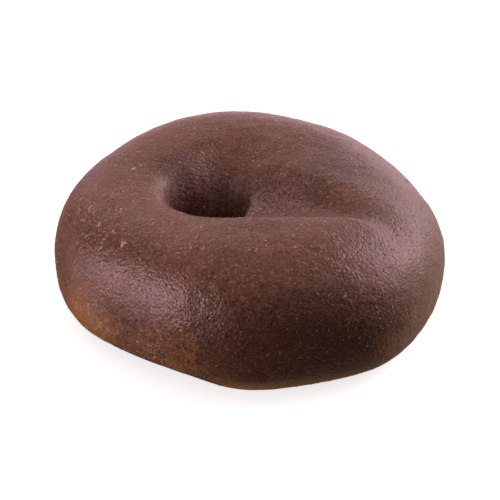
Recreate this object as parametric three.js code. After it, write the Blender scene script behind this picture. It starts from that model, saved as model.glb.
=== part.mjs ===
// Pumpernickel bagel: one piece, a hand-rolled ring of dark rye dough. The two ends of the rope are lapped
// at the right of the hole, where the front end lies over the back one and leaves a valley that runs into
// the hole. Millimetres, +Z up. The front, which shows in a picture from above the near edge, faces -Y. The
// origin is on the flat base, under the middle of the bagel's outline.

import * as THREE from "three";

// Driving dimensions, in millimetres. Each list holds even stations round the ring, anticlockwise seen from
// above, from +X.
const OUTLINE_REACH = [55.5, 54, 56, 57, 58.5, 57.5, 55, 55, 55.5, 53.5, 49, 49.6, 50.6, 53, 56.5, 56];
const FOOT_SPREAD = [0, 0, 0, 0, 0, 0, 0, 0, 0, 0, -0.4, -2.2, 1.6, 0.2, 0.6, 0.3]; // added to that at the foot
const FOOT_TOP = 20; // the height at which nothing of it is left
const CREST_HEIGHT = [38, 36.5, 37.5, 37, 37, 38, 39.5, 40];
const HOLE_CENTRE = new THREE.Vector2(-12, 1.6);
const HOLE_REACH = [10.2, 11.6, 10, 10.6, 9.9, 10.4, 11.2, 10.2];
const BELLY_SHARE = 0.42; // height of the widest outline, as a share of the crest's
const THROAT_SHARE = 0.4; // height of the narrowest hole, likewise
const CROWN_FULLNESS = 2.15; // superellipse powers: 2 is a plain ellipse, more is squarer
const RIM_FULLNESS = [4.5, 3, 2.3, 4.4, 6, 4.4, 3.4, 4]; // the top's inner half, round the hole
const BASE_FULLNESS = 3;
const BASE_SINK = 0.9; // what the dough's own weight has flattened off the underside

// The lap: a valley that runs from over the hole to the right along the lip of the dough's front end. Its
// line is that lip's foot. Past its right end it runs on as a shallow crease, down the bagel's side.
const LAP = {
  line: [
    [-34, -6.5], [-22, -9.3], [-10, -12.4], [1, -13.3], [10, -13.8],
    [18, -14.4], [26, -15.7], [33, -19], [40, -24], [50, -30],
  ],
  floorHeight: 28,
  floorWidth: 24,
  floorNarrowing: 1.05, // for each millimetre past narrowFrom
  narrowFrom: 10,
  narrowBlend: 8,
  lipSlope: 2.4,
  backSlope: 1,
  slopeBlend: 3,
  leftEnd: -2, // the floor is level between its ends, and climbs past them as the square of the distance
  leftClimb: 0.05,
  rightEnd: 5,
  rightClimb: 0.012,
  creaseDepth: 1.2,
  creaseWidth: 13,
  creaseLip: 2.5,
  creaseStart: 20, // it deepens from creaseStart to creaseFull, and is gone by creaseEnd
  creaseFull: 30,
  creaseFading: 38,
  creaseEnd: 49,
  sideShare: 0.35, // share of the section's rise over which the lap fades in, so that the walls stay whole
};

// Mesh steps: round the ring, and round its section over the top and under the base
const STEPS_AROUND = 96;
const TOP_STEPS = 40;
const BASE_STEPS = 16;
const SAMPLES_PER_STEP = 24;
const LAP_SAMPLES = 90;
const LAP_TURN = THREE.MathUtils.degToRad(-18); // where the lap meets the outline
const LAP_CROWDING = 0.35; // the steps round the ring stand closer together there
const LAP_SWIRL = 0.5; // and lean along it, in radians at the hole

const TURN = 2 * Math.PI;
const { lerp, clamp, smoothstep, euclideanModulo } = THREE.MathUtils;

// A value of the ring at any turn, smooth through the even stations of the list.
function around(stations, turn) {
  const count = stations.length;
  const place = euclideanModulo(turn / TURN, 1) * count;
  const first = Math.floor(place);
  const t = place - first;
  const [a, b, c, d] = [-1, 0, 1, 2].map((step) => stations[(first + step + count) % count]);
  return b + 0.5 * t * (c - a + t * (2 * a - 5 * b + 4 * c - d + t * (3 * (b - c) + d - a)));
}

const planPoint = (reach, turn) => new THREE.Vector2(reach * Math.cos(turn), reach * Math.sin(turn));

const superellipse = (value, fullness) => Math.sign(value) * Math.abs(value) ** (2 / fullness);

function softMin(a, b, blend) {
  const mix = clamp(0.5 + (0.5 * (b - a)) / blend, 0, 1);
  return lerp(b, a, mix) - blend * mix * (1 - mix);
}

const softPositive = (value, blend) => (value + Math.hypot(value, blend)) / 2;

// Where a point of the plan lies on the lap: how far behind its lip, and beside which x of the line.
const lapLine = new THREE.CatmullRomCurve3(LAP.line.map(([x, y]) => new THREE.Vector3(x, y, 0)));
const lapPoints = lapLine.getSpacedPoints(LAP_SAMPLES).map(({ x, y }) => new THREE.Vector2(x, y));

function lapPlace(x, y) {
  const place = { beside: 0, behind: Infinity };
  for (let i = 0; i < lapPoints.length - 1; i++) {
    const start = lapPoints[i];
    const run = lapPoints[i + 1].clone().sub(start);
    const reach = new THREE.Vector2(x, y).sub(start);
    const t = clamp(reach.dot(run) / run.lengthSq(), 0, 1);
    const gap = reach.clone().addScaledVector(run, -t);
    if (gap.length() < Math.abs(place.behind)) {
      place.beside = start.x + run.x * t;
      place.behind = gap.length() * (Math.sign(run.cross(gap)) || 1);
    }
  }
  return place;
}

// The valley's height at a place on the lap: its floor, with the lip rising at the front and a slope behind.
function valleyHeight({ beside, behind }) {
  const leftOver = Math.max(0, LAP.leftEnd - beside);
  const rightOver = Math.max(0, beside - LAP.rightEnd);
  const climb = LAP.leftClimb * leftOver ** 2 + LAP.rightClimb * rightOver ** 2;
  const width = LAP.floorWidth - LAP.floorNarrowing * softPositive(beside - LAP.narrowFrom, LAP.narrowBlend);
  const lip = LAP.lipSlope * softPositive(-behind, LAP.slopeBlend);
  const back = LAP.backSlope * softPositive(behind - width, LAP.slopeBlend);
  return LAP.floorHeight + climb + lip + back;
}

function creaseDepth({ beside, behind }) {
  const deepening = smoothstep(beside, LAP.creaseStart, LAP.creaseFull);
  const fading = smoothstep(beside, LAP.creaseFading, LAP.creaseEnd);
  const lip = smoothstep(behind, -LAP.creaseLip, LAP.creaseLip);
  const back = smoothstep(behind, LAP.creaseLip, LAP.creaseWidth);
  return LAP.creaseDepth * deepening * (1 - fading) * lip * (1 - back);
}

// One point of the ring before the lap is cut: turn goes round the ring, sweep round the section, from the
// widest outline over the top to the narrowest hole and back under the base.
function ringPoint(turn, sweep) {
  const lapNearness = 0.5 + 0.5 * Math.cos(turn - LAP_TURN);
  const holeTurn = turn - LAP_SWIRL * lapNearness;
  const overTop = Math.sin(sweep) >= 0;
  const topFullness = Math.cos(sweep) >= 0 ? CROWN_FULLNESS : around(RIM_FULLNESS, turn);
  const fullness = overTop ? topFullness : BASE_FULLNESS;
  const across = (1 + superellipse(Math.cos(sweep), fullness)) / 2;
  const rise = superellipse(Math.sin(sweep), fullness);
  const crest = around(CREST_HEIGHT, turn);
  const waist = crest * lerp(THROAT_SHARE, BELLY_SHARE, across);
  const height = overTop ? waist + (crest - waist) * rise : Math.max(0, waist + (waist + BASE_SINK) * rise);
  const spread = around(FOOT_SPREAD, turn) * (1 - smoothstep(height, 0, FOOT_TOP));
  const outer = planPoint(around(OUTLINE_REACH, turn) + spread, turn);
  const inner = planPoint(around(HOLE_REACH, holeTurn), holeTurn).add(HOLE_CENTRE);
  const plan = inner.lerp(outer, across);
  return new THREE.Vector3(plan.x, plan.y, height);
}

function skinPoint(turn, sweep) {
  const point = ringPoint(turn, sweep);
  const place = lapPlace(point.x, point.y);
  const lapped = softMin(point.z, valleyHeight(place), LAP.slopeBlend) - creaseDepth(place);
  point.z = lerp(point.z, lapped, smoothstep(Math.sin(sweep), 0, LAP.sideShare));
  return point;
}

// Sweeps from one to the other, at even distances along the ring's section.
function evenSweeps(turn, from, to, steps) {
  const samples = SAMPLES_PER_STEP * steps;
  const sweepAt = (i) => lerp(from, to, i / samples);
  const lengths = [0];
  for (let i = 1; i <= samples; i++) {
    const gap = ringPoint(turn, sweepAt(i)).distanceTo(ringPoint(turn, sweepAt(i - 1)));
    lengths.push(lengths[i - 1] + gap);
  }
  const sweeps = [];
  for (let step = 0; step < steps; step++) {
    const target = (lengths[samples] * step) / steps;
    const i = Math.max(1, lengths.findIndex((length) => length >= target));
    const part = (target - lengths[i - 1]) / (lengths[i] - lengths[i - 1]);
    sweeps.push(sweepAt(i - 1 + part));
  }
  return sweeps;
}

// The closed skin: a grid of points round the ring and round its section, with two triangles to a cell.
function ringGeometry() {
  const positions = [];
  for (let i = 0; i < STEPS_AROUND; i++) {
    const even = (i / STEPS_AROUND) * TURN;
    const turn = even - LAP_CROWDING * Math.sin(even - LAP_TURN);
    const sweeps = evenSweeps(turn, 0, Math.PI, TOP_STEPS);
    sweeps.push(...evenSweeps(turn, Math.PI, TURN, BASE_STEPS));
    for (const sweep of sweeps) {
      positions.push(...skinPoint(turn, sweep).toArray());
    }
  }
  const stepsAcross = TOP_STEPS + BASE_STEPS;
  const index = [];
  for (let i = 0; i < STEPS_AROUND; i++) {
    const next = (i + 1) % STEPS_AROUND;
    for (let j = 0; j < stepsAcross; j++) {
      const over = (j + 1) % stepsAcross;
      const a = i * stepsAcross + j;
      const b = next * stepsAcross + j;
      const c = next * stepsAcross + over;
      const d = i * stepsAcross + over;
      index.push(a, b, c, a, c, d);
    }
  }
  const geometry = new THREE.BufferGeometry();
  geometry.setAttribute("position", new THREE.Float32BufferAttribute(positions, 3));
  geometry.setIndex(index);
  return geometry;
}

// The origin goes under the middle of the outline.
function centred(geometry) {
  geometry.computeBoundingBox();
  const middle = geometry.boundingBox.getCenter(new THREE.Vector3());
  geometry.translate(-middle.x, -middle.y, -geometry.boundingBox.min.z);
  geometry.computeVertexNormals();
  return geometry;
}

const crust = new THREE.MeshStandardMaterial({ color: "#5a3427", roughness: 0.5, metalness: 0 });

const bagel = new THREE.Mesh(centred(ringGeometry()), crust);
bagel.name = "bagel";

const part = new THREE.Group();
part.add(bagel);

export default part;
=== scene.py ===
"""A pumpernickel bagel: the crust of its one piece of dough, the bran baked into it, and a plain stage.

Everything is in metres, in the frame of the solid: +Z up, the front with its blunt prow towards -Y, and the
flat base at Z = 0. Places, reaches and the sizes of patterns that are written as bare numbers are in
millimetres.
"""

import math

import bpy
import numpy as np
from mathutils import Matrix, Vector


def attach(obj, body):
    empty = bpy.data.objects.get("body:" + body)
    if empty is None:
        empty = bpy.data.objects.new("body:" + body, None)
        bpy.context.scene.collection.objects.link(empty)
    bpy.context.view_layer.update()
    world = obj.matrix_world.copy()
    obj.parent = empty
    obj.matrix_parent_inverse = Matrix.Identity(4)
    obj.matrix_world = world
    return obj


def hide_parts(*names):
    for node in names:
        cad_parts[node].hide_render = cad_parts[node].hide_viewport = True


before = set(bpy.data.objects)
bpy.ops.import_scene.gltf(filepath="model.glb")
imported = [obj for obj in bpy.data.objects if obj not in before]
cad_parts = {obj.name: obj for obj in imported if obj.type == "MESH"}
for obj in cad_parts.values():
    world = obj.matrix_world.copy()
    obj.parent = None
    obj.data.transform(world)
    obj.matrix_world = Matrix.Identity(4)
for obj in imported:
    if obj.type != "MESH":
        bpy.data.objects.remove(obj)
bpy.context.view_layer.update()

bl_info = {
    "name": "Pumpernickel Bagel",
    "version": (1, 0, 0),
    "blender": (4, 5, 0),
    "location": "View3D > Sidebar > Bagel",
    "description": "Makes the crust and the bran of a pumpernickel bagel, and a plain stage for it",
    "category": "Object",
}

MM = 0.001
NODE = "bagel"
BODY = "root"

# In plan: the middle of the hole, the fold along the front strand and the seam that the lap's crease ends in.
HOLE_CENTRE = (-12, -1.5)
FOLD_LINE = [(-2, -28), (4, -31), (11, -34), (17, -38), (24, -40), (30, -41)]
SEAM_LINE = [(24, -17), (29, -18), (33, -20), (38, -24), (42, -28)]

# How the solid's mesh is rounded, and in how many steps a vertex group's weights are held.
MERGE_DISTANCE = 0.001
SUBDIVISIONS = 2
WEIGHT_STEPS = 60

# Heights from none to all: of the relief, clear of the flat base, of the fold and the seam, on the top alone,
# and of the throat's wrinkles and painted light, below the hole's rim. Then the distances from the hole's
# middle of the throat's wrinkles and painted light and of the sides' painted bounce light, likewise.
RELIEF_HEIGHTS = (0.5, 5)
TOP_HEIGHTS = (24, 30)
THROAT_HEIGHTS = (35, 30)
THROAT_REACH = (19, 14)
SIDE_REACH = (22, 30)

# The sizes of the crust's patterns and the bran's. The wrinkles have theirs round the hole, at that radius,
# and along the hole they vary by only that share as much.
SPECKLE_SIZE = 0.3
PATCH_SIZE = 15
MOTTLE_SIZE = 2.6
GRAIN_SIZE = 0.75
PORE_SIZE = 0.8
FLECK_SIZE = 0.6
FLECK_SHIFT = (31, 17, 5)
WRINKLE_SIZE = 1.1
WRINKLE_RADIUS = 14
WRINKLE_STRETCH = 0.13

# What bends a pattern: the size of the noise, and how far it moves a point.
PORE_BEND_SIZE = 5 / 3
PORE_BEND = 0.9
SIDE_BEND_SIZE = 100 / 11
SIDE_BEND = 16

# Parts of the skin that differ: the middle of each, how far it is whole and where it has faded out. They are
# the shelf that runs into the hole, which takes a painted sheen, the hollow of the valley, darkened with
# painted shade, the rim left of the hole, dull and darkened with painted shade, the front, darkened with
# painted shade, and the bran on that front, likewise, the foot right of the front, lightened with painted
# bounce light, and the left side, which nothing darkens much, so that its painted bounce light stays light.
FRONT = (11, -50, 11)
LEFT = (-47, -30, 9)
SHELF = ((8, 0, 28), 5, 14)
SHADED_HOLLOW = ((27, 6, 33), 3, 17)
DULL_SHADED_RIM = ((-22, 10, 35), 3, 11)
FRONT_SHADE = (FRONT, 12, 32)
FRONT_BRAN_SHADE = (FRONT, 14, 38)
BOUNCE_LIT_FOOT = ((22, -48, 2), 22, 36)
LEFT_SIDE = (LEFT, 4, 17)

# The sides that take painted warm bounce light, likewise, and how strong it is on each.
BOUNCE_LIT_SIDES = [
    (LEFT, 4, 18, 1),
    ((-20, -48, 8), 4, 18, 1),
    ((35, -45, 7), 3, 15, 0.8),
    ((-55, -10, 10), 3, 20, 0.5),
]

# Heights between which the sides take painted bounce light, elsewhere and on the front with its painted
# shade, and how strong that gets there, how ragged the border is, and the heights between which the foot
# takes a painted contact shadow, or painted golden bounce light at the right.
PALE_HEIGHTS = (20, 4)
FRONT_PALE_HEIGHTS = (9, 2)
FRONT_PALENESS = 0.6
RAGGEDNESS = 16
CONTACT_SHADE_HEIGHTS = (6, 1.5)
BOUNCE_FOOT_HEIGHTS = (9, 3)

# A flake's shape, as shares of its length: its width and thickness, how far it tapers, and the least and the
# greatest plumpness and curl. Flakes past the slim length are less plump. On skin with less than the least
# slope, a flake's turn is taken from +X.
FLAKE_WIDTH = 0.75
FLAKE_THICKNESS = 0.18
FLAKE_TAPER = 0.4
FLAKE_PLUMPNESS = (0.45, 1.2)
FLAKE_CURL = (-0.9, 0.9)
SLIM_LENGTH = 0.8
LEAST_SLOPE = 0.01

# The small flakes: how much their lengths vary, and between which shares of the middling one, how few are
# pale, and the distances from the front's middle between which more may be, which keeps painted shade on the
# front's bran. They like the front most, and that falls by 1 between these Y. No bran lies below the foot's
# height.
LENGTH_SPREAD = 0.35
LENGTH_SHARES = (0.5, 2.2)
PALENESS_POWER = 2.2
PALENESS_REACH = (5, 40)
FRONT_LIKING = 1.35
LIKING_FALL = (-30, 40)
BRAN_FOOT = 1.5

# Where bran has gathered: the middle of each drift, how far it spreads, its number of flakes and their
# length. Then how far they turn from level, in radians, the shares of that length that they have, and how
# pale they are.
BRAN_DRIFTS = [
    ((-43, -33, 11), 6, 110, 0.95),
    ((-28, -45, 8), 7, 60, 0.8),
    ((-42, -16, 35), 9, 60, 0.7),
]
DRIFT_TURN = 0.6
DRIFT_SHARES = (0.6, 1.5)
DRIFT_PALENESS = (0, 0.9)

# The largest flakes of bran: where each lies in plan, its length and its turn in degrees. Then how pale they
# are, and the heights that each is sought from: above the crust, or else beside it.
LARGE_FLAKES = [
    (-41, -20, 2.0, 120),
    (-29, -10, 3.0, 25),
    (-25, -9, 1.8, 40),
    (-13, -27, 0.9, 0),
    (-44, -12, 2.2, 125),
    (-47, -6, 1.3, 100),
    (-37, -24, 1.7, 115),
    (-34, -29, 2.6, 125),
    (-29, -40, 1.2, 90),
    (-19, -37, 1.0, 30),
    (-22, -45, 1.8, 30),
    (12, -37, 1.0, 10),
    (0, -38, 1.0, 60),
    (-40, -27, 1.1, 45),
    (18, -48, 1.2, 100),
    (25, -47, 1.1, 20),
    (8, -55, 0.9, 0),
    (-33, 7, 2.2, -45),
    (-31, 9, 1.5, -50),
    (46, -31, 1.1, 0),
    (-50, 4, 1.3, 70),
    (14, 31, 1.0, 20),
    (-24, 34, 1.2, 150),
]
LARGE_PALENESS = (0.6, 1)
ABOVE_CRUST = 60
BESIDE_CRUST = 18

# The stage: the floor's width in metres and how much it glows, the point that the camera looks at, and the
# soft light round the bagel, as the azimuth, elevation and half-width in degrees, the strength and the tint
# of each glow.
FLOOR_WIDTH = 8
FLOOR_GLOW = 0.7
LOOKED_AT = (0.14, -3.5, 16)
GLOWS = [
    (30, -30, 20, 0.75, (1.0, 0.74, 0.52)),
    (180, -10, 20, 1.6, (1.0, 0.74, 0.78)),
    (0, 10, 20, 1.1, (1.0, 0.82, 0.84)),
    (60, 10, 20, 1.6, (1.0, 0.82, 0.88)),
    (208, 9, 12, 9.8, (1.0, 0.79, 0.86)),
    (30, 30, 15, 5.8, (1.0, 0.83, 0.88)),
    (120, 30, 20, 1.6, (1.0, 0.72, 0.68)),
    (330, 52, 20, 0.75, (1.0, 0.82, 0.8)),
    (180, 72, 20, 1.1, (1.0, 0.78, 0.62)),
    (90, -15, 18, 1.25, (1.0, 0.58, 0.67)),
    (310, -84, 20, 0.42, (1.0, 0.74, 0.5)),
]


# ---------------------------------------------------------------- settings


def length(name, description, default):
    return bpy.props.FloatProperty(
        name=name, description=description, default=default, unit="LENGTH", precision=5
    )


def colour(name, description, default):
    return bpy.props.FloatVectorProperty(
        name=name, description=description, default=default, subtype="COLOR", min=0, max=1
    )


def share(name, description, default):
    return bpy.props.FloatProperty(
        name=name, description=description, default=default, subtype="FACTOR", min=0, max=1
    )


class BagelCrustSettings(bpy.types.PropertyGroup):
    lump_size: length("Lump size", "Width of the dough's broad lumps", 24 * MM)
    lump_height: length("Lump height", "How far the broad lumps rise and fall", 0.7 * MM)
    dimple_size: length("Dimple size", "Width of the skin's shallow dimples", 6.5 * MM)
    dimple_height: length("Dimple height", "How far the dimples rise and fall", 0.3 * MM)
    pebble_size: length("Pebble size", "Width of the skin's fine pebbling", 3.2 * MM)
    pebble_height: length("Pebble height", "How far the fine pebbling rises and falls", 0.15 * MM)
    fold_depth: length("Fold depth", "Depth of the fold along the front strand", 0.14 * MM)
    fold_width: length("Fold width", "Width of that fold and of the seam's ridge", 1.1 * MM)
    seam_height: length("Seam height", "How far the seam's thin ridge stands out", 0.2 * MM)
    grain_depth: length("Grain depth", "Depth of the skin's grain and pores", 0.12 * MM)
    wrinkle_depth: length("Wrinkle depth", "Depth of the stretched wrinkles down the hole", 0.2 * MM)
    brown: colour("Brown", "The baked crust", (0.17, 0.069, 0.035))
    # Dark brown is the colour of the patches, grain and pores, and also of the painted shade on the front, at
    # the foot, in the hollow and on the rim left of the hole.
    dark_brown: colour("Dark brown", "Its darker patches and pores", (0.065, 0.028, 0.017))
    # Pale brown and golden brown are painted bounce light, low on the sides.
    bounce_pale_brown: colour("Pale brown", "Its less baked skin, low on the sides", (0.26, 0.11, 0.042))
    bounce_golden_brown: colour("Golden brown", "Its palest skin, low at the left and right", (0.42, 0.18, 0.045))
    fleck_brown: colour("Fleck brown", "The light flecks all over the skin", (0.28, 0.145, 0.09))
    # This colour is painted sheen on the shelf and painted light in the hole.
    painted_sheen_brown: colour("Sheen brown", "The skin of the shelf and of the hole", (0.27, 0.155, 0.165))
    roughness: share("Roughness", "How dull the crust's satin is", 0.29)


class BagelBranSettings(bpy.types.PropertyGroup):
    count: bpy.props.IntProperty(name="Count", description="Number of small flakes", default=3600, min=0)
    seed: bpy.props.IntProperty(name="Seed", description="Seed of their places, sizes and turns", default=7)
    flake_length: length("Length", "Length of a middling flake", 0.56 * MM)
    tan: colour("Tan", "The bran", (0.54, 0.37, 0.26))
    dull_tan: colour("Dull tan", "Bran that has taken up more of the dough's brown", (0.24, 0.125, 0.08))
    # Front shade tan is painted shade on the bran of the front.
    front_shade_tan: colour("Dark tan", "Bran on the front that baked dark", (0.11, 0.06, 0.035))


class BagelStageSettings(bpy.types.PropertyGroup):
    elevation: bpy.props.FloatProperty(
        name="Elevation",
        description="How far above the horizon the camera stands",
        default=math.radians(34),
        subtype="ANGLE",
    )
    distance: length("Distance", "From the camera to the point it looks at", 520 * MM)
    view_width: length("View width", "What the picture's width shows at that distance", 142.86 * MM)
    floor_colour: colour("Floor", "The plain pale floor", (0.8, 0.95, 0.98))


# ---------------------------------------------------------------- shader nodes


class Wire:
    """A shader socket on which Python's operators work: each adds the Math node of its name."""

    def __init__(self, sheet, socket):
        self.sheet = sheet
        self.socket = socket

    def __add__(self, other):
        return self.sheet.math("ADD", self, other)

    def __sub__(self, other):
        return self.sheet.math("SUBTRACT", self, other)

    def __rsub__(self, other):
        return self.sheet.math("SUBTRACT", other, self)

    def __mul__(self, other):
        return self.sheet.math("MULTIPLY", self, other)

    __radd__ = __add__
    __rmul__ = __mul__


class Sheet:
    """The nodes of one material or world."""

    def __init__(self, owner):
        owner.use_nodes = True
        self.owner = owner
        self.tree = owner.node_tree

    def feed(self, socket, value):
        if isinstance(value, Wire):
            self.tree.links.new(value.socket, socket)
        elif socket.type == "RGBA" and len(value) == 3:
            socket.default_value = (*value, 1)
        else:
            socket.default_value = value

    def node(self, kind, settings=None, inputs=None, output=0):
        made = self.tree.nodes.new(kind)
        for name, value in (settings or {}).items():
            setattr(made, name, value)
        for name, value in (inputs or {}).items():
            self.feed(made.inputs[name], value)
        return Wire(self, made.outputs[output])

    def shade(self, node_name, **values):
        for name, value in values.items():
            self.feed(self.tree.nodes[node_name].inputs[name.replace("_", " ")], value)

    def math(self, operation, *values):
        return self.node("ShaderNodeMath", {"operation": operation}, dict(enumerate(values)))

    def vector(self, operation, *values, output="Vector"):
        return self.node("ShaderNodeVectorMath", {"operation": operation}, dict(enumerate(values)), output)

    def scaled(self, vector, factor):
        return self.vector("MULTIPLY", vector, (factor, factor, factor))

    def place(self):
        """The object's own coordinates, in millimetres."""
        return self.scaled(self.node("ShaderNodeTexCoord", output="Object"), 1 / MM)

    def height(self, place):
        return self.node("ShaderNodeSeparateXYZ", inputs={0: place}, output="Z")

    def attribute(self, name):
        return self.node("ShaderNodeAttribute", {"attribute_name": name}, output="Fac")

    def near(self, place, middle, whole, gone):
        """1 up to the first distance from the middle, and 0 past the second."""
        return self.ramp(self.vector("DISTANCE", place, middle, output="Value"), gone, whole)

    def cells(self, place, size):
        """How far each point is from the middle of its cell, of cells of that size."""
        return self.node("ShaderNodeTexVoronoi", {"feature": "F1"}, {"Vector": place, "Scale": 1 / size})

    def noise(self, place, size, detail=2, roughness=0.5, output=0):
        inputs = {"Vector": place, "Scale": 1 / size, "Detail": detail, "Roughness": roughness}
        return self.node("ShaderNodeTexNoise", inputs=inputs, output=output)

    def ramp(self, value, low, high):
        """0 below low and 1 above high, smooth between them, or the other way round where low is larger."""
        inputs = {"Value": value, "From Min": low, "From Max": high}
        return self.node("ShaderNodeMapRange", {"interpolation_type": "SMOOTHSTEP"}, inputs)

    def mix(self, factor, first, second):
        """The first colour where the factor is 0, and the second where it is 1 or more."""
        # The node has sockets for each type of value. Those of a colour are inputs 6 and 7, and output 2.
        return self.node("ShaderNodeMix", {"data_type": "RGBA"}, {0: factor, 6: first, 7: second}, output=2)


# ---------------------------------------------------------------- modelling helpers


def only(piece):
    bpy.ops.object.select_all(action="DESELECT")
    piece.select_set(True)
    bpy.context.view_layer.objects.active = piece


def apply_modifier(piece, kind, **settings):
    only(piece)
    bpy.ops.object.modifier_add(type=kind)
    modifier = piece.modifiers[-1]
    for name, value in settings.items():
        setattr(modifier, name, value)
    bpy.ops.object.modifier_apply(modifier=modifier.name)


def points_of(piece):
    """The piece's points, in millimetres."""
    points = np.empty(len(piece.data.vertices) * 3, np.float32)
    piece.data.vertices.foreach_get("co", points)
    return points.reshape(-1, 3).astype(float) / MM


def smooth(value, low, high):
    """0 below low and 1 above high, smooth between them, or the other way round where low is larger."""
    t = np.clip((value - low) / (high - low), 0, 1)
    return t * t * (3 - 2 * t)


def weigh(piece, name, weights):
    """A vertex group that holds one weight, in even steps, for each point of the piece."""
    group = piece.vertex_groups.new(name=name)
    steps = np.round(np.clip(weights, 0, 1) * WEIGHT_STEPS).astype(int)
    for step in range(1, WEIGHT_STEPS + 1):
        group.add(np.nonzero(steps == step)[0].tolist(), step / WEIGHT_STEPS, "ADD")
    return name


def roughen(piece, group, size, height, depth):
    """Raises and sinks the piece's skin in a cloudy pattern, by at most about half the height."""
    texture = bpy.data.textures.new("clouds", "CLOUDS")
    texture.noise_scale = size
    texture.noise_depth = depth
    apply_modifier(
        piece, "DISPLACE", texture=texture, texture_coords="LOCAL", vertex_group=group, strength=height
    )
    bpy.data.textures.remove(texture)


def raise_skin(piece, group, height):
    """Raises the piece's skin by the height, or sinks it where that is negative, by the group's weights."""
    apply_modifier(piece, "DISPLACE", vertex_group=group, strength=height, mid_level=0)


def paint(piece, name, values):
    """An attribute that holds one value for each point of the piece."""
    attribute = piece.data.attributes.new(name, "FLOAT", "POINT")
    attribute.data.foreach_set("value", np.asarray(values, np.float32))


def distance_to_line(points, line):
    """How far each point is, in plan, from a line of points."""
    nearest = np.full(len(points), np.inf)
    for start, end in zip(np.array(line[:-1], float), np.array(line[1:], float)):
        run = end - start
        reach = points[:, :2] - start
        t = np.clip(reach @ run / (run @ run), 0, 1)
        nearest = np.minimum(nearest, np.linalg.norm(reach - t[:, None] * run, axis=1))
    return nearest


def ridge(points, line, width):
    """1 on a line drawn over the top of the bagel, fading to almost nothing at about the width from it."""
    distance = distance_to_line(points, line)
    return smooth(points[:, 2], *TOP_HEIGHTS) * np.exp(-((distance / (0.6 * width)) ** 2))


# ---------------------------------------------------------------- the crust


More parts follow.
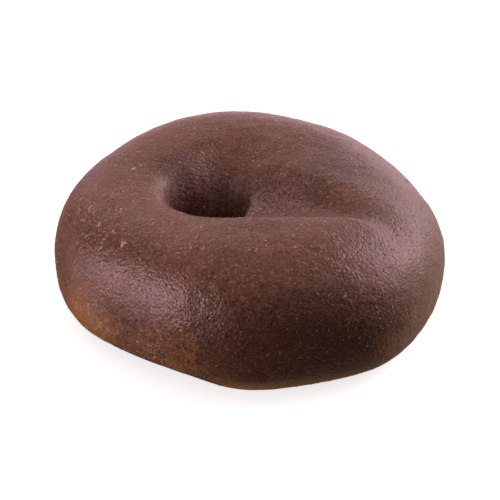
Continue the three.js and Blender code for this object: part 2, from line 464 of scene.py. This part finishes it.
class Skin:
    """The patterns of the crust's material, and what is made of them."""

    def __init__(self, sheet):
        place = sheet.place()
        self.sheet = sheet
        self.place = place
        self.height = sheet.height(place)
        self.patches = sheet.noise(place, PATCH_SIZE, detail=3)
        self.mottle = sheet.noise(place, MOTTLE_SIZE, detail=3, roughness=0.6)
        self.grain = sheet.noise(place, GRAIN_SIZE, roughness=0.65)
        self.flecks = sheet.noise(sheet.vector("ADD", place, FLECK_SHIFT), FLECK_SIZE, detail=1)
        self.pores = self.bent_pores()
        self.wrinkles = self.hole_wrinkles()
        self.throat = sheet.attribute("throat")
        # These masks carry painted light and shade: sheen on the shelf, shade in the hollow, on the front and
        # on the rim left of the hole, and bounce light on the foot.
        self.shelf = sheet.near(place, *SHELF)
        self.hollow = sheet.near(place, *SHADED_HOLLOW)
        self.front = sheet.near(place, *FRONT_SHADE)
        self.dull = sheet.near(place, *DULL_SHADED_RIM)
        self.bounce_lit_foot = sheet.near(place, *BOUNCE_LIT_FOOT)

    def bent_pores(self):
        """Pores, close together and bent out of their even cells."""
        sheet = self.sheet
        bend = sheet.noise(self.place, PORE_BEND_SIZE, detail=1, output="Color")
        return sheet.cells(sheet.vector("ADD", self.place, sheet.scaled(bend, PORE_BEND)), PORE_SIZE)

    def hole_wrinkles(self):
        """Wrinkles that run down the hole, so they vary fast round its axis and slowly along it."""
        sheet = self.sheet
        from_axis = sheet.vector("SUBTRACT", self.place, (*HOLE_CENTRE, 0))
        outward = sheet.vector("NORMALIZE", sheet.vector("MULTIPLY", from_axis, (1, 1, 0)))
        around = sheet.vector("MULTIPLY", outward, (WRINKLE_RADIUS, WRINKLE_RADIUS, 0))
        along = sheet.vector("MULTIPLY", self.place, (0, 0, WRINKLE_STRETCH))
        return sheet.noise(sheet.vector("ADD", around, along), WRINKLE_SIZE, roughness=0.6)

    def golden(self):
        """Painted warm bounce light on the sides, with a wandering border."""
        sheet = self.sheet
        bend = sheet.noise(self.place, SIDE_BEND_SIZE, output="Color")
        bend = sheet.scaled(sheet.vector("SUBTRACT", bend, (0.5, 0.5, 0.5)), SIDE_BEND)
        place = sheet.vector("ADD", self.place, bend)
        return sum(weight * sheet.near(place, *side) for *side, weight in BOUNCE_LIT_SIDES)

    def pale(self):
        """Painted bounce light low on the sides, with a ragged border that lies lower on the front with its
        painted shade.
        """
        ramp = self.sheet.ramp
        ragged = self.height + (self.patches - 0.5) * RAGGEDNESS
        on_front = FRONT_PALENESS * ramp(ragged, *FRONT_PALE_HEIGHTS) * self.front
        return ramp(ragged, *PALE_HEIGHTS) * (1 - self.front) + on_front

    def darkness(self):
        """How far the crust is darkened, by its patches, grain, pores and wrinkles and by painted shade: the
        sum of what darkens it, each by its weight.
        """
        ramp = self.sheet.ramp
        weights = [
            (0.3, ramp(self.patches, 0.6, 0.3)),
            (0.3, ramp(self.mottle, 0.62, 0.3)),
            # Painted shade on the front.
            (0.62, self.front),
            # Painted contact shadow low at the foot, except where the foot takes painted bounce light.
            (0.8, ramp(self.height, *CONTACT_SHADE_HEIGHTS) * (1 - self.bounce_lit_foot)),
            (0.42, ramp(self.grain, 0.6, 0.38)),
            (0.25, ramp(self.pores, 0.4, 0.8)),
            (0.5, self.throat * ramp(self.wrinkles, 0.52, 0.36)),
            # Painted shade in the hollow of the valley.
            (0.75, self.hollow),
            # Painted shade on the rim left of the hole, where it is also dull.
            (0.3, self.dull),
            (0.4, self.shelf * ramp(self.pores, 0.5, 0.7)),
        ]
        # The left side is kept from darkening, so that its painted bounce light stays light.
        left_side = self.sheet.near(self.place, *LEFT_SIDE)
        return sum(weight * where for weight, where in weights) * (1 - 0.8 * left_side)

    def tone(self, settings):
        """The crust's colour: its broad tones, with painted bounce light and painted sheen, darkened, partly
        with painted shade, and then what stays light on top of that.
        """
        ramp = self.sheet.ramp
        layers = [
            # Painted bounce light low on the sides.
            (self.sheet.attribute("side") * self.pale(), settings.bounce_pale_brown),
            # Painted warm bounce light on the sides.
            (0.85 * self.golden(), settings.bounce_golden_brown),
            # Painted light in the hole.
            (0.5 * self.throat, settings.painted_sheen_brown),
            (self.darkness(), settings.dark_brown),
            # Painted golden bounce light on the foot at the right.
            (self.bounce_lit_foot * ramp(self.height, *BOUNCE_FOOT_HEIGHTS), settings.bounce_golden_brown),
            # Fewer flecks on the front, to keep its painted shade.
            ((0.8 - 0.6 * self.front) * ramp(self.flecks, 0.55, 0.68), settings.fleck_brown),
            # Painted sheen on the shelf, between its pores.
            (0.75 * self.shelf * ramp(self.pores, 0.6, 0.2), settings.painted_sheen_brown),
        ]
        tone = settings.brown
        for where, layer in layers:
            tone = self.sheet.mix(where, tone, layer)
        return tone

    def relief(self, settings):
        """Heights in metres: the domes between the pores, the grain, and the wrinkles down the hole."""
        domes = 1 - self.pores * self.pores
        grain = settings.grain_depth * (domes + 1.5 * self.grain)
        return grain + settings.wrinkle_depth * self.throat * self.wrinkles


def crust_material(settings):
    sheet = Sheet(bpy.data.materials.new("crust"))
    skin = Skin(sheet)
    relief = {"Strength": 1, "Distance": 1, "Height": skin.relief(settings)}
    sheet.shade(
        "Principled BSDF",
        Base_Color=skin.tone(settings),
        Roughness=settings.roughness + 0.2 * (skin.mottle + skin.grain - 1) + 0.4 * skin.dull,
        IOR=1.5,
        Specular_IOR_Level=0.65,
        Specular_Tint=(1.0, 0.78, 0.83),
        Normal=sheet.node("ShaderNodeBump", inputs=relief),
    )
    return sheet.owner


class BAGEL_OT_crust(bpy.types.Operator):
    """Make the crust: the form of the solid, with the relief and the finish of its baked skin"""

    bl_idname = "bagel.crust"
    bl_label = "Crust"

    def execute(self, context):
        settings = context.scene.bagel_crust
        crust = bpy.data.objects.new("crust_skin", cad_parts[NODE].data.copy())
        context.scene.collection.objects.link(crust)
        only(crust)
        bpy.ops.object.mode_set(mode="EDIT")
        bpy.ops.mesh.select_all(action="SELECT")
        bpy.ops.mesh.remove_doubles(threshold=MERGE_DISTANCE * MM)
        bpy.ops.mesh.tris_convert_to_quads(face_threshold=math.pi, shape_threshold=math.pi)
        bpy.ops.object.mode_set(mode="OBJECT")
        apply_modifier(crust, "SUBSURF", levels=SUBDIVISIONS, render_levels=SUBDIVISIONS)

        points = points_of(crust)
        raised = weigh(crust, "raised", smooth(points[:, 2], *RELIEF_HEIGHTS))
        folded = weigh(crust, "folded", ridge(points, FOLD_LINE, settings.fold_width / MM))
        seamed = weigh(crust, "seamed", ridge(points, SEAM_LINE, settings.fold_width / MM))
        roughen(crust, raised, settings.lump_size, settings.lump_height, depth=1)
        roughen(crust, raised, settings.dimple_size, settings.dimple_height, depth=1)
        roughen(crust, raised, settings.pebble_size, settings.pebble_height, depth=0)
        raise_skin(crust, folded, -settings.fold_depth)
        raise_skin(crust, seamed, settings.seam_height)
        crust.vertex_groups.clear()

        from_hole = np.linalg.norm(points[:, :2] - HOLE_CENTRE, axis=1)
        throat = smooth(from_hole, *THROAT_REACH) * smooth(points[:, 2], *THROAT_HEIGHTS)
        paint(crust, "throat", throat)
        paint(crust, "side", smooth(from_hole, *SIDE_REACH))
        only(crust)
        bpy.ops.object.shade_smooth()
        crust.data.materials.clear()
        crust.data.materials.append(crust_material(settings))
        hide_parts(NODE)
        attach(crust, BODY)
        return {"FINISHED"}


# ---------------------------------------------------------------- the bran


def bran_material(settings):
    sheet = Sheet(bpy.data.materials.new("bran"))
    place = sheet.place()
    speckle = sheet.noise(place, SPECKLE_SIZE, detail=1)
    paleness = sheet.attribute("paleness") + 0.3 * (speckle - 0.5)
    tone = sheet.mix(paleness, settings.dull_tan, settings.tan)
    # Painted shade on the bran of the front.
    tone = sheet.mix(0.8 * sheet.near(place, *FRONT_BRAN_SHADE), tone, settings.front_shade_tan)
    sheet.shade("Principled BSDF", Base_Color=tone, Roughness=0.5 + 0.2 * speckle)
    return sheet.owner


def one_flake():
    """A flake's points and faces: a thin lens, one long, that tapers to one end and lies along X."""
    bpy.ops.object.select_all(action="DESELECT")
    bpy.ops.mesh.primitive_uv_sphere_add(segments=6, ring_count=4, radius=0.5)
    flake = bpy.context.active_object
    bpy.ops.object.mode_set(mode="EDIT")
    bpy.ops.mesh.select_all(action="SELECT")
    bpy.ops.transform.resize(value=(1, FLAKE_WIDTH, FLAKE_THICKNESS))
    bpy.ops.object.mode_set(mode="OBJECT")
    points = points_of(flake) * MM
    points[:, 1] *= 1 - FLAKE_TAPER * points[:, 0]
    faces = [tuple(face.vertices) for face in flake.data.polygons]
    bpy.data.objects.remove(flake)
    return points, faces


class Flake:
    """One flake: its place, the skin's direction there, its length, its turn from level, and its look."""

    def __init__(self, rng, spot, up, size, turn, paleness):
        self.spot = spot
        self.up = up
        self.size = size
        self.turn = turn
        self.plumpness = rng.uniform(*FLAKE_PLUMPNESS) * min(1, SLIM_LENGTH * MM / size) ** 0.5
        self.curl = rng.uniform(*FLAKE_CURL)
        self.paleness = paleness

    def points(self, points):
        level = Vector((0, 0, 1)).cross(self.up)
        level = level.normalized() if level.length > LEAST_SLOPE else Vector((1, 0, 0))
        along = level * math.cos(self.turn) + self.up.cross(level) * math.sin(self.turn)
        shape = points * (1, self.plumpness, 1)
        shape[:, 1] += self.curl * shape[:, 0] ** 2
        return shape * self.size @ np.array([along, self.up.cross(along), self.up]) + np.array(self.spot)


def sown_places(crust, count, rng, liking):
    """Random places on the crust above its foot, by each face's liking, and the skin's direction there."""
    faces = crust.data.polygons
    areas = np.array([face.area * (face.center.z > BRAN_FOOT * MM) for face in faces]) * liking
    chosen = rng.choice(len(faces), count, p=areas / areas.sum())
    return [(faces[i].center.copy(), faces[i].normal.copy()) for i in chosen]


def small_flakes(crust, settings, rng, middles):
    """Small flakes all over, fewer towards the back, and seldom pale near the middle of the front, which is
    painted shade.
    """
    flakes = []
    liking = FRONT_LIKING - smooth(middles[:, 1], *LIKING_FALL)
    for spot, up in sown_places(crust, settings.count, rng, liking):
        size = settings.flake_length * float(np.clip(rng.lognormal(0, LENGTH_SPREAD), *LENGTH_SHARES))
        # Near the front's middle the flakes stay dull, as painted shade.
        from_front = (spot / MM - Vector(FRONT)).length
        paleness = rng.uniform(0, 1) ** PALENESS_POWER * smooth(from_front, *PALENESS_REACH)
        turn = rng.uniform(0, math.pi)
        flakes.append(Flake(rng, spot, up, size, turn, paleness))
    return flakes


def drifted_flakes(crust, rng, middles):
    """The flakes of the drifts in which the bran has gathered."""
    flakes = []
    for middle, spread, count, middling in BRAN_DRIFTS:
        liking = np.exp(-(((middles - middle) / spread) ** 2).sum(1))
        for spot, up in sown_places(crust, count, rng, liking):
            turn = rng.normal(0, DRIFT_TURN)
            size = middling * MM * rng.uniform(*DRIFT_SHARES)
            paleness = rng.uniform(*DRIFT_PALENESS)
            flakes.append(Flake(rng, spot, up, size, turn, paleness))
    return flakes


def large_flakes(crust, rng):
    """The largest flakes, on the crust's top where they lie over it, and otherwise on its side."""
    flakes = []
    for x, y, size, turn in LARGE_FLAKES:
        above = Vector((x, y, ABOVE_CRUST)) * MM
        found, spot, up, _ = crust.ray_cast(above, Vector((0, 0, -1)))
        if not found:
            found, spot, up, _ = crust.closest_point_on_mesh(Vector((x, y, BESIDE_CRUST)) * MM)
        if not found:
            raise RuntimeError("a large flake lies nowhere on the crust")
        paleness = rng.uniform(*LARGE_PALENESS)
        flakes.append(Flake(rng, spot, up, size * MM, math.radians(turn), paleness))
    return flakes


class BAGEL_OT_bran(bpy.types.Operator):
    """Bake the flakes of bran into the crust"""

    bl_idname = "bagel.bran"
    bl_label = "Bran"

    def execute(self, context):
        settings = context.scene.bagel_bran
        crust = bpy.data.objects["crust_skin"]
        middles = np.array([face.center for face in crust.data.polygons]) / MM
        rng = np.random.default_rng(settings.seed)
        flakes = small_flakes(crust, settings, rng, middles)
        flakes += drifted_flakes(crust, rng, middles)
        flakes += large_flakes(crust, rng)

        points, faces = one_flake()
        all_points = np.concatenate([flake.points(points) for flake in flakes])
        starts = [len(points) * i for i in range(len(flakes))]
        all_faces = [[start + point for point in face] for start in starts for face in faces]
        mesh = bpy.data.meshes.new("bran_flakes")
        mesh.from_pydata(all_points, [], all_faces)
        bran = bpy.data.objects.new("bran_flakes", mesh)
        context.scene.collection.objects.link(bran)
        paint(bran, "paleness", np.repeat([flake.paleness for flake in flakes], len(points)))
        only(bran)
        bpy.ops.object.shade_smooth()
        bran.data.materials.append(bran_material(settings))
        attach(bran, BODY)
        return {"FINISHED"}


# ---------------------------------------------------------------- the stage


def direction(azimuth, elevation):
    """The direction at an azimuth, anticlockwise from +X, and an elevation, both in degrees."""
    azimuth, elevation = math.radians(azimuth), math.radians(elevation)
    flat = math.cos(elevation)
    return Vector((flat * math.cos(azimuth), flat * math.sin(azimuth), math.sin(elevation)))


def studio_light():
    """The light from all round: soft glows, which the camera itself sees as plain white."""
    sheet = Sheet(bpy.data.worlds.new("studio"))
    look = sheet.node("ShaderNodeTexCoord", output="Generated")
    light = (0, 0, 0)
    for azimuth, elevation, half_width, strength, tint in GLOWS:
        nearness = sheet.vector("DOT_PRODUCT", look, direction(azimuth, elevation), output="Value")
        narrowness = math.log(2) / (1 - math.cos(math.radians(half_width)))
        glow = sheet.math("EXPONENT", (nearness - 1) * narrowness)
        light = sheet.vector("ADD", light, sheet.vector("MULTIPLY", Vector(tint) * strength, glow))
    camera_sees = sheet.node("ShaderNodeLightPath", output="Is Camera Ray")
    sheet.shade("Background", Color=sheet.mix(camera_sees, light, (1, 1, 1)))
    return sheet.owner


def floor_material(settings):
    sheet = Sheet(bpy.data.materials.new("floor"))
    sheet.shade(
        "Principled BSDF",
        Base_Color=settings.floor_colour,
        Roughness=0.9,
        Emission_Color=(1, 1, 1),
        Emission_Strength=FLOOR_GLOW,
    )
    return sheet.owner


class BAGEL_OT_stage(bpy.types.Operator):
    """Set up the plain pale floor, the soft light and the camera"""

    bl_idname = "bagel.stage"
    bl_label = "Stage"

    def execute(self, context):
        settings = context.scene.bagel_stage
        scene = context.scene
        bpy.ops.object.select_all(action="DESELECT")
        bpy.ops.mesh.primitive_plane_add(size=FLOOR_WIDTH)
        floor = context.active_object
        floor.name = "floor"
        floor.data.materials.append(floor_material(settings))
        # The floor takes the bagel's shadow, but throws no light on it and lets the low glows through.
        floor.visible_diffuse = False
        floor.visible_glossy = False
        floor.visible_shadow = False
        scene.world = studio_light()

        back = direction(-90, math.degrees(settings.elevation))
        lens = bpy.data.cameras.new("camera")
        lens.lens = lens.sensor_width * settings.distance / settings.view_width
        camera = bpy.data.objects.new("camera", lens)
        camera.location = Vector(LOOKED_AT) * MM + back * settings.distance
        camera.rotation_euler = back.to_track_quat("Z", "Y").to_euler()
        scene.collection.objects.link(camera)
        scene.camera = camera
        scene.view_settings.view_transform = "Standard"
        return {"FINISHED"}


# ---------------------------------------------------------------- the add-on


OPERATORS = {"bagel_crust": BAGEL_OT_crust, "bagel_bran": BAGEL_OT_bran, "bagel_stage": BAGEL_OT_stage}
SETTINGS = {
    "bagel_crust": BagelCrustSettings,
    "bagel_bran": BagelBranSettings,
    "bagel_stage": BagelStageSettings,
}


class BAGEL_PT_panel(bpy.types.Panel):
    """The bagel's operators, each over its settings"""

    bl_idname = "BAGEL_PT_panel"
    bl_label = "Bagel"
    bl_space_type = "VIEW_3D"
    bl_region_type = "UI"
    bl_category = "Bagel"

    def draw(self, context):
        for key, operator in OPERATORS.items():
            box = self.layout.box()
            box.operator(operator.bl_idname)
            for name in SETTINGS[key].__annotations__:
                box.prop(getattr(context.scene, key), name)


CLASSES = (*SETTINGS.values(), *OPERATORS.values(), BAGEL_PT_panel)


def register():
    for made in CLASSES:
        bpy.utils.register_class(made)
    for key, settings in SETTINGS.items():
        setattr(bpy.types.Scene, key, bpy.props.PointerProperty(type=settings))


def unregister():
    for key in SETTINGS:
        delattr(bpy.types.Scene, key)
    for made in reversed(CLASSES):
        bpy.utils.unregister_class(made)


def main():
    register()
    bpy.ops.bagel.stage()
    bpy.ops.bagel.crust()
    bpy.ops.bagel.bran()


if __name__ == "__main__":
    main()
